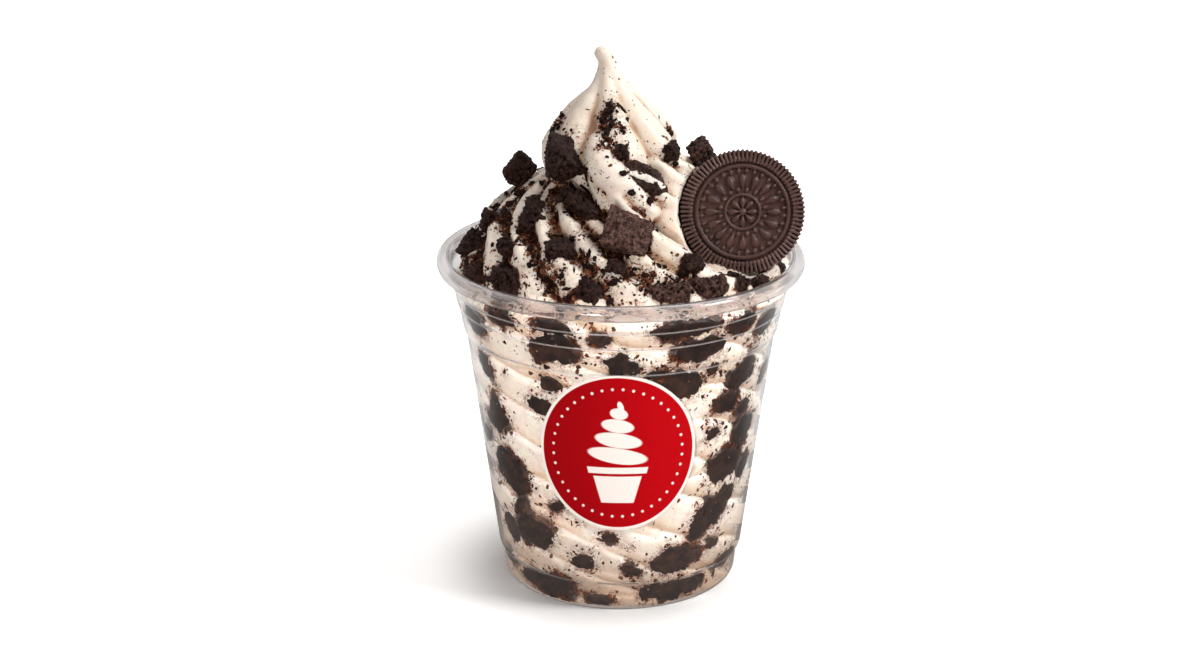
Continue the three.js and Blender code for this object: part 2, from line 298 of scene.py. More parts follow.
def rope(name, stops):
    """A rope of cream through stops of (x, y, z, radius)."""
    bpy.ops.curve.primitive_nurbs_path_add()
    piece = named(name)
    line = piece.data.splines[0]
    line.points.add(len(stops) - len(line.points))
    for point, (x, y, z, radius) in zip(line.points, stops):
        point.co = (x * MM, y * MM, z * MM, 1)
        point.radius = radius
    line.use_endpoint_u = True
    line.order_u = 4
    piece.data.bevel_depth = MM
    piece.data.bevel_resolution = 5
    piece.data.use_fill_caps = True
    pick(piece)
    bpy.ops.object.convert(target="MESH")
    return named(name)


def strand_stops(k, lift=0.0, fat=1.0):
    """One strand of the coil, or with a lift the crest along its top."""
    turn = strand_turn(k)
    count = 26
    stops = []
    for number in range(count):
        u = number / (count - 1)
        out, height = (
            float(np.interp(u * 6, range(7), [row[column] for row in FIRST_STRAND])) * (1 - turn)
            + float(np.interp(u * 6, range(7), [row[column] for row in LAST_STRAND])) * turn
            for column in (0, 1)
        )
        wobble = 1.1 * noise.noise(Vector((k * 3.7, u * 3, 1)))
        angle = math.radians(COIL_START + 360 * turn + STRAND_SWEEP * u + 2.5 * wobble)
        away = lift * min(1, 3 * (1 - u))
        out += 0.6 * away + 0.5 * wobble
        height += 0.8 * away
        rounded = math.sqrt(min(1, 0.15 + 6 * u, 0.3 + 6 * (1 - u)))
        swell = 1 + 0.2 * noise.noise(Vector((k * 1.9, u * 4.5, 7)))
        radius = rounded * (4.1 + 1.2 * u) * swell * fat
        stops.append((out * math.cos(angle), out * math.sin(angle), height, radius))
    return stops


# The last of the cream: a fat fold that comes out from under the peak at the front
LAST_FOLD = [
    (-4.7, -9, 124.8, 2.6), (-5.5, -14, 123.3, 4), (-6, -17, 119.7, 4.6), (-1.9, -19, 115.5, 4.5),
    (2.6, -20.5, 111.7, 4.1), (6.2, -22, 108.8, 3.1), (9, -22.5, 106.5, 1.6),
]


def peak_place(round_share, down_share):
    drop = PEAK_LENGTH * down_share
    knob = KNOB_RADIUS * np.sqrt(np.clip(drop / 1.6, 0, 1))
    flare = (PEAK_RADIUS - KNOB_RADIUS) * smooth_step(2.5, 27, drop)
    tuck = 3 * smooth_step(29, PEAK_LENGTH, drop)
    groove = PEAK_GROOVE * smooth_step(1, 9, drop)
    phase = -TURN * round_share
    twist = 0.7 * smooth_step(4, PEAK_LENGTH, drop)
    lobe = np.abs(np.cos(PEAK_LOBES * phase / 2)) ** 0.75
    out = (knob + flare - tuck) * (1 - groove + groove * lobe)
    out *= 1 - smooth_step(0.985, 1, down_share)
    lean = reading(PEAK_LEAN, drop)
    return lean + out * np.cos(phase + twist), out * np.sin(phase + twist), PEAK_HEIGHT - drop


def biscuit_matrix():
    lean = math.radians(BISCUIT_LEAN)
    across = Vector((1, 0, 0))
    up = Vector((0, math.sin(lean), math.cos(lean)))
    facing = Vector((0, -math.cos(lean), math.sin(lean)))
    turn = Matrix((across, up, facing)).transposed().to_4x4()
    return Matrix.Translation(Vector(BISCUIT_FACE) * MM) @ turn @ Matrix.Scale(BISCUIT_SCALE, 4)


def at_biscuit(piece):
    """Stands a shape made along Z, from its front face at z = 0 back, at the biscuit's place."""
    piece.data.transform(biscuit_matrix())
    piece.data.update()


def make_swirl():
    ropes = [rope(f"strand_{k}", strand_stops(k)) for k in range(STRANDS)]
    ropes += [rope(f"crest_{k}", strand_stops(k, 4.4, 0.36)) for k in range(STRANDS)]
    ropes.append(rope("last_fold", LAST_FOLD))
    peak = wrapped("peak", 240, 120, peak_place)
    heart = turned("heart", [(0, 80), (40, 80), (37.5, 84), (30, 90), (19, 98), (0, 106)], 96)
    bpy.ops.mesh.primitive_uv_sphere_add(segments=32, ring_count=20, radius=1.8 * MM)
    knob = named("knob")
    knob.data.transform(Matrix.Translation(Vector((-5.3, -0.2, 144.2)) * MM))
    swirl = joined("soft_swirl", [*ropes, peak, heart, knob])
    fused(swirl, 0.5)
    with_modifier(swirl, "SMOOTH", factor=0.5, iterations=2)
    bpy.ops.mesh.primitive_cone_add(
        vertices=96, radius1=SEAT_RADII[0] * MM, radius2=SEAT_RADII[1] * MM, depth=SEAT_DEPTH * MM
    )
    seat = named("seat")
    settle(seat)
    seat.data.transform(Matrix.Translation((0, 0, (SEAT_FRONT - SEAT_DEPTH / 2) * MM)))
    at_biscuit(seat)
    with_modifier(swirl, "BOOLEAN", object=seat, operation="DIFFERENCE", solver="EXACT")
    bpy.data.objects.remove(seat)
    fused(swirl, 0.63)
    with_modifier(swirl, "SMOOTH", factor=0.5, iterations=1)
    points = points_of(swirl)
    sag = 0.45 * ripple(points, 9) + 0.16 * ripple(points, 3.4, 2)
    move_points(swirl, points + normals_of(swirl) * sag[:, None])
    return smoothed(swirl)


swirl = make_swirl()

# ---- Filling, pressed to the inside of the wall ----

FILLING_PATH = [(0, 3.0), (27.6, 3.0), (29.2, 0.95), (30.1, 0.95)]
PRESS = 0.08  # how far the filling reaches into the wall, so that no air shows between


def filling_path():
    wall = [(radius + PRESS, height) for height, radius in inner_wall if 1.2 < height < 84]
    return FILLING_PATH + wall + [(43.2, 85.2), (41, 87), (33, 92), (0, 95)]


def fold_depth(points):
    """How far the cream's slanting folds draw back from the wall, in mm, and how much painted shade they get.
    """
    angle = np.arctan2(points[:, 1], points[:, 0])
    bend = ripple(points, 30, 4) * 0.32 + ripple(points, 12, 5) * 0.07
    ribbon = (points[:, 2] / 10.4 + 7 * angle / TURN + bend) % 1
    crease = np.exp(-ribbon / 0.14) + np.exp(-(1 - ribbon) / 0.045)
    strength = smooth_step(-0.9, -0.1, ripple(points, 24, 6))
    bend = ripple(points, 19, 8) * 0.5
    fine = (points[:, 2] / 8.3 + 9 * angle / TURN + bend) % 1
    small = np.exp(-fine / 0.18) + np.exp(-(1 - fine) / 0.06)
    faint = smooth_step(-0.2, 0.6, ripple(points, 13, 9))
    soft = np.exp(-ribbon / 0.34) * smooth_step(0, 0.04, ribbon) * strength
    soft_fine = np.exp(-fine / 0.34) * smooth_step(0, 0.05, fine) * faint
    shade = np.clip(1.1 * soft + 0.7 * soft_fine, 0, 1)
    return 1.1 * crease * strength + 0.5 * small * faint, shade


def make_filling():
    path = np.array(filling_path())
    run = np.concatenate([[0], np.cumsum(np.hypot(*np.diff(path, axis=0).T))])
    keep = np.concatenate([[True], np.diff(run) > 1e-6])
    path, run = path[keep], run[keep]
    wall_from, wall_to = run[4], run[-4]
    share = np.array([0, 0.01, 0.02, 0.97, 0.985, 1])
    reach = np.array([0, run[3], wall_from, wall_to, run[-2], run[-1]])

    def place(round_share, down_share):
        far = np.interp(down_share, share, reach)
        radius = np.interp(far, run, path[:, 0])
        height = np.interp(far, run, path[:, 1])
        angle = TURN * round_share
        return radius * np.cos(angle), radius * np.sin(angle), height

    piece = wrapped("filling", 350, 218, place)
    points = points_of(piece)
    out = np.hypot(points[:, 0], points[:, 1])
    at_wall = smooth_step(28, 30.5, out)
    depth, shade = fold_depth(points)
    depth *= at_wall
    depth[points[:, 2] < 1.2] *= 0.3
    scale = (out - depth) / np.maximum(out, 1e-6)
    points[:, :2] *= scale[:, None]
    move_points(piece, points)
    return piece, 0.52 * shade


filling, filling_shade = make_filling()

# ---- Broken biscuit ----


def own_copy(node, name):
    """A frame piece's own mesh as a new piece, its corners joined up."""
    piece = added(name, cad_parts[node].data.copy())
    outward(piece)
    return piece


def size_of(points):
    return points.max(axis=0) - points.min(axis=0)


def broken_off(piece, chance):
    """Breaks a lump down to flat faces between a few of its own corners."""
    corners = points_of(piece)
    kept = [chance.randrange(len(corners))]
    for _ in range(chance.choice((9, 10, 11))):
        gaps = np.min([np.linalg.norm(corners - corners[number], axis=1) for number in kept], axis=0)
        kept.append(int(np.argmax(gaps)))
    pick(piece)
    with editing("DESELECT"):
        bpy.ops.mesh.select_mode(type="VERT")
    for number, corner in enumerate(piece.data.vertices):
        corner.select = number not in kept
    bpy.ops.object.mode_set(mode="EDIT")
    bpy.ops.mesh.delete(type="VERT")
    bpy.ops.object.mode_set(mode="OBJECT")
    with editing():
        bpy.ops.mesh.convex_hull()
        bpy.ops.mesh.normals_make_consistent(inside=False)


def crumbled(piece, chance, rough):
    """Turns a plain lump into a broken, crumbly one of the same size."""
    drawn = points_of(piece)
    broken_off(piece, chance)
    fused(piece, 0.3)
    roughened(piece, 2.4, 1.1 * rough)
    fused(piece, 0.24)
    roughened(piece, 0.9, 1.3 * rough)
    roughened(piece, 1.2, -0.7 * rough, 0.4, "VORONOI")
    points = points_of(piece)
    middle = (points.min(axis=0) + points.max(axis=0)) / 2
    fit = (size_of(drawn) / size_of(points)).mean()
    move_points(piece, (drawn.min(axis=0) + drawn.max(axis=0)) / 2 + (points - middle) * fit)
    smoothed(piece)


# How pale the broken faces are painted: painted light, the block in front, which faces the light, is painted
# lighter than the rest
PAINTED_LIGHT = {
    "big_block": 0.44, "filled": 0.16, "behind_biscuit": 0.25, "front_long": 0.36, "front_long_right": 0.3,
}
# How crumbly their faces are: the larger ones show flat breaks and clear edges
ROUGH = {"big_block": 0.55, "filled": 0.45, "peak_left": 0.75, "left_top": 0.8, "front_long": 0.8}


def make_chunks():
    chunks = []
    chance = random.Random(12)
    for node in sorted(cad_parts):
        if node.startswith("chunk_"):
            piece = own_copy(node, "broken_" + node[6:])
            crumbled(piece, chance, ROUGH.get(node[6:], 0.95))
            marked(piece, "painted_light", np.full(len(piece.data.vertices), PAINTED_LIGHT.get(node[6:], 0.1)))
            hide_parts(node)
            chunks.append(piece)
    return chunks


chunks = make_chunks()


def wall_at(height):
    return np.interp(height, [row[0] for row in inner_wall], [row[1] for row in inner_wall])


def pressed_to_wall(piece, lift):
    """Moves a lump out against the inside of the wall and flattens what would pass it."""
    points = points_of(piece)
    out = np.hypot(points[:, 0], points[:, 1])
    limit = wall_at(points[:, 2]) + 2 * PRESS
    scale = np.minimum(out + lift, limit) / np.maximum(out, 1e-6)
    points[:, :2] *= scale[:, None]
    move_points(piece, points)


# Smaller broken biscuit in the filling: (angle, height, length, width, roll)
SMALL_SUNK = [
    (-134, 82.6, 9, 3.4, -4), (-114, 83.2, 12, 3, 0), (-69, 82.8, 19, 4, 0), (-97, 80.5, 4, 2.6, 10),
    (-46, 81.5, 9, 4.6, 12), (-30, 78.5, 9, 6, 20), (-152, 78, 9, 7, -30), (-122, 59.5, 7, 4.6, -10),
    (-46, 58.8, 8, 5, 25), (-117, 66.3, 5.6, 3.6, 0), (-151, 66, 7, 5, -50), (-35, 55.5, 5, 3.4, 20),
    (-139, 27.5, 6, 2.4, 50), (-107, 14.8, 5.4, 4.4, 0), (-84, 12.5, 4.2, 2.2, -20), (-148, 19, 8, 6, -60),
    (-28, 36, 7, 5, 60), (-20, 62, 8, 5, 30), (-118, 30.5, 4.4, 2.4, 40), (-96, 22.5, 2.8, 1.6, 0),
    (-100, 3.4, 7, 2.4, 0), (-44, 16.5, 4, 2.4, 0), (-78, 70.5, 5, 2.6, 0), (-55, 70, 3.6, 2.2, 30),
    (-52, 50.5, 4.2, 2.6, 40), (-160, 44, 6, 4.4, 10), (-160, 8, 12, 4, 0), (-30, 9, 10, 4.4, 0),
]


def sunk_lump(name, angle, height, length, width, roll):
    bpy.ops.mesh.primitive_ico_sphere_add(subdivisions=4, radius=MM / 2)
    piece = named(name)
    bpy.ops.transform.resize(value=(length, width, 5))
    settle(piece)
    turn = math.radians(angle)
    across = Vector((-math.sin(turn), math.cos(turn), 0))
    out = Vector((math.cos(turn), math.sin(turn), 0))
    upright = Matrix((across, out.cross(across), out)).transposed().to_4x4()
    place = out * (float(wall_at(height)) - 1) + Vector((0, 0, height))
    tilt = Matrix.Rotation(math.radians(roll), 4, "Z")
    piece.data.transform(Matrix.Translation(place * MM) @ upright @ tilt)
    return piece


def make_sunk():
    sunk = []
    for node in sorted(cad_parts):
        if node.startswith("sunk_"):
            piece = own_copy(node, "pressed_" + node[5:])
            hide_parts(node)
            sunk.append(piece)
    chance = random.Random(41)
    rows = list(SMALL_SUNK)
    for _ in range(34):
        angle = chance.uniform(-8, 190)
        long, wide = chance.uniform(4, 11), chance.uniform(2.4, 6)
        rows.append((angle, chance.uniform(6, 80), long, wide, chance.uniform(-40, 40)))
    small = [sunk_lump(f"bit_{number}", *row) for number, row in enumerate(rows)]
    sunk.append(joined("pressed_small_pieces", small))
    for piece in sunk:
        rough = 0.5 if piece == sunk[-1] else 1
        fused(piece, 0.5)
        roughened(piece, 3.4 * rough, 4.4 * rough, 0.36 + 0.12 * (1 - rough))
        roughened(piece, 1.1, 3.4 * rough, 0.42)
        pressed_to_wall(piece, 0.9)
        fused(piece, 0.46)
        pressed_to_wall(piece, 0.12)
        smoothed(piece)
    return sunk


sunk = make_sunk()

# ---- Chocolate biscuit ----

RIM_RIBS = 84
RIM_BAND = 3.3
RIM_RING = 12.2


def bar(length, width, depth, place, bevel=0.2):
    """A small bar with rounded edges, its long side along X."""
    bpy.ops.mesh.primitive_cube_add(size=MM, location=[c * MM for c in place])
    piece = bpy.context.object
    bpy.ops.transform.resize(value=(length, width, depth))
    settle(piece)
    with editing():
        bpy.ops.mesh.bevel(offset=bevel * MM, segments=2, affect="EDGES")
    return piece


def drop(length, width, depth, place):
    """A raised drop of dough, pointed at its inner end, its long side along X."""
    bpy.ops.mesh.primitive_uv_sphere_add(segments=20, ring_count=12, radius=MM / 2)
    piece = bpy.context.object
    points = points_of(piece)
    taper = 0.45 + 0.55 * smooth_step(-0.5, 0.25, points[:, 0])
    points[:, 1] *= taper
    points *= np.array([length, width, depth])
    move_points(piece, points + np.array(place))
    return piece


def round_the_face(part, count, start=0.0):
    """Copies one shape round the biscuit's middle."""
    parts = [part]
    for number in range(count):
        turn = Matrix.Rotation(TURN * (number + start) / count, 4, "Z")
        twin = added(f"{part.name}_{number}", part.data.copy())
        twin.data.transform(turn)
        parts.append(twin)
    bpy.data.objects.remove(parts.pop(0))
    return parts


def make_wafer(name):
    bpy.ops.mesh.primitive_cylinder_add(vertices=168, radius=16.2 * MM, depth=1.45 * MM)
    bpy.ops.transform.translate(value=(0, 0, -1.55 * MM))
    plate = bpy.context.object
    settle(plate)
    with editing():
        bpy.ops.mesh.bevel(offset=0.25 * MM, segments=2, affect="EDGES", clamp_overlap=True)
    parts = [plate]
    middle = BISCUIT_RADIUS - RIM_BAND / 2
    parts += round_the_face(bar(RIM_BAND, 0.7, 2.15, (middle, 0, -1.08), 0.2), RIM_RIBS)
    for ring, thick, sink in ((RIM_RING, 0.5, 0.42), (4.6, 0.36, 0.42)):
        bpy.ops.mesh.primitive_torus_add(
            major_radius=ring * MM, minor_radius=thick * MM, major_segments=120, minor_segments=12,
            location=(0, 0, -sink * MM),
        )
        parts.append(bpy.context.object)
        settle(parts[-1])
    parts += round_the_face(drop(3.8, 2.1, 1.7, (8.2, 0, -0.55)), 16)
    parts += round_the_face(drop(1.3, 1.2, 1.3, (10.8, 0, -0.55)), 32, 0.5)
    parts += round_the_face(drop(1.4, 1.0, 1.1, (5.9, 0, -0.55)), 16, 0.5)
    parts += round_the_face(drop(3.0, 1.6, 1.6, (2.4, 0, -0.55)), 8)
    bpy.ops.mesh.primitive_uv_sphere_add(
        segments=24, ring_count=12, radius=0.95 * MM, location=(0, 0, -0.75 * MM)
    )
    parts.append(bpy.context.object)
    settle(parts[-1])
    wafer = joined(name, parts)
    fused(wafer, 0.19)
    with_modifier(wafer, "SMOOTH", factor=0.5, iterations=1)
    return smoothed(wafer)


def make_biscuit():
    front = make_wafer("biscuit_front")
    back = added("biscuit_back", front.data.copy())
    depth = 2 * WAFER + BISCUIT_CREAM
    back.data.transform(Matrix.Translation((0, 0, -depth * MM)) @ Matrix.Rotation(math.pi, 4, "X"))
    bpy.ops.mesh.primitive_cylinder_add(vertices=128, radius=15 * MM, depth=(BISCUIT_CREAM + 0.1) * MM)
    bpy.ops.transform.translate(value=(0, 0, -depth / 2 * MM))
    filling_disc = named("biscuit_cream_layer")
    settle(filling_disc)
    fused(filling_disc, 0.4)
    roughened(filling_disc, 2.5, 0.35)
    smoothed(filling_disc)
    for piece in (front, back):
        roughened(piece, 0.9, 0.09)
    for piece in (front, back, filling_disc):
        at_biscuit(piece)
    return front, back, filling_disc


biscuit_front, biscuit_back, biscuit_filling = make_biscuit()

# ---- Label ----


def make_label():
    """A round film label, its flat drawing kept as its UV map, bent to the wall."""
    bpy.ops.mesh.primitive_circle_add(vertices=144, radius=LABEL_RADIUS * MM, fill_type="NGON")
    piece = named("round_label")
    with editing():
        for _ in range(11):
            bpy.ops.mesh.inset(thickness=1.8 * MM)
    points = points_of(piece)
    layer = piece.data.uv_layers.new(name="drawing") if not piece.data.uv_layers else piece.data.uv_layers[0]
    for loop in piece.data.loops:
        x, y = points[loop.vertex_index][:2]
        layer.data[loop.index].uv = (x / LABEL_RADIUS, y / LABEL_RADIUS)
    height = LABEL_HEIGHT + LABEL_TALL * points[:, 1]
    wall = reading(PLAIN_WALL, height)
    angle = (LABEL_WIDE * points[:, 0] + LABEL_SHIFT) / wall - TURN / 4
    out = wall - 0.04
    move_points(piece, np.stack([out * np.cos(angle), out * np.sin(angle), height], axis=1))
    with_modifier(piece, "SOLIDIFY", thickness=LABEL_FILM * MM, offset=1)
    outward(piece)
    bpy.ops.object.shade_smooth_by_angle(angle=math.radians(40))
    return piece


label = make_label()

# ---- Cream in the broken sandwich piece ----


def make_chunk_filling():
    """A slice of the sandwich piece's own shape, a little larger, for the white layer in it."""
    piece = own_copy("chunk_filled", "broken_piece_cream")
    middle = sum(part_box("chunk_filled"), Vector()) / 2
    turn = math.radians(-68)
    across = Vector((-math.sin(turn), math.cos(turn), 0))
    out = Vector((math.cos(turn), math.sin(turn), 0.78)).normalized()
    up = out.cross(across).normalized()
    roll = math.radians(-35)
    layers = up * math.cos(roll) - across * math.sin(roll)
    piece.data.transform(
        Matrix.Translation(middle) @ Matrix.Scale(1.02, 4) @ Matrix.Translation(-middle)
    )
    for place, keep_low in ((-2.0, False), (-0.3, True)):
        with editing():
            bpy.ops.mesh.bisect(
                plane_co=middle + layers * place * MM, plane_no=layers, use_fill=True,
                clear_inner=not keep_low, clear_outer=keep_low,
            )
    fused(piece, 0.3)
    roughened(piece, 1.8, 0.7)
    return smoothed(piece)


chunk_filling = make_chunk_filling()

# ---- Folds and dust on the soft serve ----


def spread_evenly(piece, values, rounds):
    """Evens values (or places) out over a piece's surface, point to neighbouring point."""
    first, second = read_out(piece.data.edges, "vertices", 2, np.int64).T
    size = len(piece.data.vertices)
    count = np.bincount(first, minlength=size) + np.bincount(second, minlength=size) + 1.0
    made = values.copy()
    for _ in range(rounds):
        total = made.copy()
        for column in range(made.shape[1]):
            total[:, column] += np.bincount(first, made[second, column], size)
            total[:, column] += np.bincount(second, made[first, column], size)
        made = total / count[:, None]
    return made


def hollow_of(piece, rounds, depth):
    """How deep each point lies in a fold, from 0 to 1 at the given depth in mm."""
    points = points_of(piece)
    smooth = spread_evenly(piece, points, rounds)
    return np.einsum("ij,ij->i", smooth - points, normals_of(piece)) / depth


def nearness(points, pieces, reach, thin=3):
    """Nearness to some pieces, 1 at their skin and 0 at the reach in mm, and which points they cover."""
    skin = np.concatenate([points_of(piece)[::thin] for piece in pieces])
    facing = np.concatenate([normals_of(piece)[::thin] for piece in pieces])
    tree = KDTree(len(skin))
    for number, place in enumerate(skin):
        tree.insert(place, number)
    tree.balance()
    found = [tree.find(place)[1:] for place in points]
    closest = np.array([row[0] for row in found])
    gap = np.array([row[1] for row in found])
    above = np.einsum("ij,ij->i", points - skin[closest], facing[closest])
    return 1 - np.clip(gap / reach, 0, 1), (above < -0.2) & (gap < 6)


# Where crumbs lie thick on the swirl, as places in the picture: (right, down, reach in mm, how thick)
CRUMB_HEAPS = [
    (612, 96, 1.9, 1.3), (611, 107, 2.2, 1.6), (603, 114, 2.4, 1.5), (617, 118, 2.2, 1.3),
    (625, 127, 2, 1.3), (604, 136, 2.6, 1.4), (611, 144, 2.4, 1.2), (607, 126, 2, 1.1),
    (561, 116, 2.2, 1.3), (552, 131, 2.2, 1.2), (566, 138, 1.7, 0.9), (575, 129, 1.6, 0.8),
    (585, 137, 1.9, 0.9), (597, 146, 1.8, 1), (592, 155, 1.6, 0.9), (668, 118, 1.6, 0.9),
    (670, 131, 2, 1.1), (661, 110, 1.4, 0.7), (519, 190, 2.6, 0.9), (528, 197, 2.4, 0.9),
    (545, 181, 2.2, 1), (557, 197, 2.4, 1), (584, 207, 2.6, 1.2), (514, 223, 3, 1.3), (496, 220, 3, 1.2),
    (522, 238, 3, 1.2), (532, 249, 2.8, 1.2), (540, 266, 3.2, 1.4), (556, 275, 3, 1.3), (550, 286, 3, 1.2),
    (569, 300, 2.6, 1.1), (577, 233, 2.6, 1.1), (584, 258, 2.4, 1.2), (600, 270, 2.6, 1.2),
    (616, 282, 2.6, 1.1), (626, 275, 2.8, 1.2), (647, 270, 2.4, 1.1), (663, 275, 2.6, 1),
    (678, 285, 2.6, 1), (595, 212, 2.2, 1), (637, 197, 1.6, 1), (641, 209, 1.5, 1.3), (660, 197, 2, 0.9),
    (653, 187, 1.6, 0.7), (705, 257, 2.4, 1.1), (715, 265, 2.2, 0.9), (726, 271, 2, 0.8),
    (676, 160, 1.6, 0.8), (690, 166, 1.8, 0.8), (476, 262, 3, 1.3), (486, 281, 3.2, 1.3),
    (525, 300, 2.6, 1.1), (634, 252, 2, 0.8), (676, 236, 1.2, 0.7), (598, 262, 2.4, 1),
    (645, 287, 2.4, 1.1), (610, 292, 2.2, 0.9), (694, 297, 2.4, 0.9),
]


def seen_at(piece, right, down):
    """The point of a piece that the picture shows at a place in it, in mm, or nothing."""
    tilt = math.radians(CAMERA_TILT)
    across, up = (right - PICTURE_MIDDLE[0]) / FOCAL, (PICTURE_MIDDLE[1] - down) / FOCAL
    line = Vector((across, math.cos(tilt) + up * math.sin(tilt), up * math.cos(tilt) - math.sin(tilt)))
    hit, place, _, _ = piece.ray_cast(Vector(CAMERA_PLACE) * MM, line.normalized())
    return np.array(place) / MM if hit else None


def heaped(piece, points):
    """How thick the crumbs lie at each point because of the heaps."""
    thick = np.zeros(len(points))
    for right, down, reach, amount in CRUMB_HEAPS:
        place = seen_at(piece, right, down)
        if place is not None:
            gap = np.linalg.norm(points - place, axis=1)
            thick += amount * np.exp(-((gap / reach) ** 2))
    return thick


def dust_on_swirl():
    points = points_of(swirl)
    depth = hollow_of(swirl, 25, 0.6)
    hollow, crest = np.clip(depth, 0, 1), smooth_step(0.1, 0.9, -depth)
    near, covered = nearness(points, chunks, 4)
    left = smooth_step(18, -22, points[:, 0] + 0.4 * points[:, 1])
    shown = smooth_step(8, -4, points[:, 1] - 0.4 * points[:, 0])
    low = smooth_step(126, 110, points[:, 2])
    patch = smooth_step(-0.25, 0.5, ripple(points, 8, 11))
    streak = smooth_step(-0.1, 0.5, ripple(points * np.array([1, 1, 0.5]), 3.2, 12))
    thick = low * (0.04 + 0.96 * patch * (0.15 + 0.85 * streak)) * (0.08 + 0.92 * left)
    dust = 0.36 * near ** 1.6 + thick * (1 - 0.5 * shown)
    dust += 1.3 * heaped(swirl, points) * (0.4 + 0.6 * streak) + 0.95 * hollow * low * (0.12 + 0.88 * left)
    trough = smooth_step(94, 87, points[:, 2]) * (0.4 + 0.6 * patch)
    dust = 0.085 + 0.4 * trough + dust * (1 - 0.7 * crest)
    dust *= 1 - 0.5 * smooth_step(129, 138, points[:, 2])
    # The swirl's hollows, for painted shade in its material
    marked(swirl, "fold_shade", hollow)
    marked(swirl, "dust", dust)
    marked(swirl, "stain", near ** 2.2 * (0.35 + 0.5 * patch) + 0.5 * thick * left + 0.35 * trough)
    return np.where(covered, 0, np.clip(dust, 0, 1.3))


def dust_on_filling():
    points = points_of(filling)
    near, covered = nearness(points, sunk, 4.2)
    patch = smooth_step(-0.25, 0.6, ripple(points, 9, 14))
    streak = smooth_step(0.0, 0.6, ripple(points, 5, 15))
    dust = 0.17 + 0.95 * near ** 1.7 + 0.75 * patch * streak
    # The folds' painted shade, for the filling's material
    marked(filling, "fold_shade", filling_shade)
    marked(filling, "dust", dust)
    marked(filling, "stain", near * (0.6 + 0.4 * patch))
    return np.where(covered, 0, np.clip(dust, 0, 1.3))


swirl_dust = dust_on_swirl()
filling_dust = dust_on_filling()


def crumb_shapes(chance, kinds, cuts):
    """A few angular grains, some of them splinters: twenty faces at one cut, eighty at two."""
    shapes = []
    for number in range(kinds):
        bpy.ops.mesh.primitive_ico_sphere_add(subdivisions=cuts, radius=MM)
        grain = bpy.context.object
        points = points_of(grain)
        points *= np.array([[chance.uniform(0.62, 1.28)] for _ in points])
        points *= np.array([1, chance.uniform(0.6, 0.95), chance.uniform(0.5, 0.85)])
        if number % 4 == 3:
            points *= np.array([1.7, 0.5, 0.5])
        faces = np.array([face.vertices[:] for face in grain.data.polygons])
        shapes.append((points, faces))
        bpy.data.objects.remove(grain)
    return shapes


def scatter(name, ground, weight, count, sizes, seed, sink=0.35, flat=1.0, cuts=1, pile=0.0):
    """Grains scattered over a piece's faces, thicker and higher where the weight of its points is greater."""
    chance = random.Random(seed)
    dice = np.random.default_rng(seed)
    mesh = ground.data
    area = read_out(mesh.polygons, "area")
    middle = read_out(mesh.polygons, "center", 3) / MM
    facing = read_out(mesh.polygons, "normal", 3)
    starts = read_out(mesh.polygons, "loop_start", kind=np.int64)
    corner = read_out(mesh.loops, "vertex_index", kind=np.int64)
    odds = area * weight[corner[starts]]
    chosen = dice.choice(len(odds), count, p=odds / odds.sum())
    shapes = crumb_shapes(chance, 12, cuts)
    points, faces, used = [], [], 0
    for face in chosen:
        shape, sides = shapes[chance.randrange(len(shapes))]
        size = sizes[0] + (sizes[1] - sizes[0]) * chance.random() ** 2.6
        up = Vector(facing[face])
        turn = up.to_track_quat("Z", "Y").to_matrix() @ Matrix.Rotation(chance.uniform(0, TURN), 3, "Z")
        local = shape * size * np.array([1, 1, flat])
        local[:, 2] += size * flat * (0.55 - sink * 1.6)
        local[:, 2] += pile * chance.random() ** 2 * smooth_step(0.5, 1.2, weight[corner[starts[face]]])
        jitter = np.array([chance.uniform(-0.25, 0.25), chance.uniform(-0.25, 0.25), 0])
        points.append((local + jitter) @ np.array(turn).T + middle[face])
        faces.append(sides + used)
        used += len(shape)
    grains = bpy.data.meshes.new(name)
    grains.from_pydata(np.concatenate(points) * MM, [], np.concatenate(faces).tolist())
    return added(name, grains)


swirl_dust *= smooth_step(81, 84, points_of(swirl)[:, 2])
crumbs = [
    scatter("small_broken_pieces", swirl, swirl_dust ** 2.5, 1800, (0.36, 1.2), 4, 0.3, 1.0, 2),
    scatter("crumbs_on_swirl", swirl, swirl_dust ** 1.8, 9900, (0.18, 0.66), 5, pile=0.8),
    scatter("fine_crumbs_on_swirl", swirl, swirl_dust ** 1.3 + 0.04, 9900, (0.09, 0.32), 6, pile=0.4),
    scatter("crumbs_in_filling", filling, filling_dust ** 1.5, 9900, (0.2, 1.05), 7, 0.5, 0.3),
]

# ---- What stands for what ----

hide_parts("cup")
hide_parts("soft_serve")
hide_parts("soft_serve")
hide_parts("biscuit_front_wafer")
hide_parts("biscuit_back_wafer")
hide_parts("biscuit_cream")
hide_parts("label")
slots = {
    "cup_plastic": [cup],
    "label_print": [label],
    "soft_serve": [swirl, filling],
    "chocolate_biscuit": [*chunks, *sunk, biscuit_front, biscuit_back, *crumbs],
    "biscuit_cream": [biscuit_filling, chunk_filling],
}
for slot, pieces in slots.items():
    for piece in pieces:
        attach(piece, "root")


# ---- Materials ----


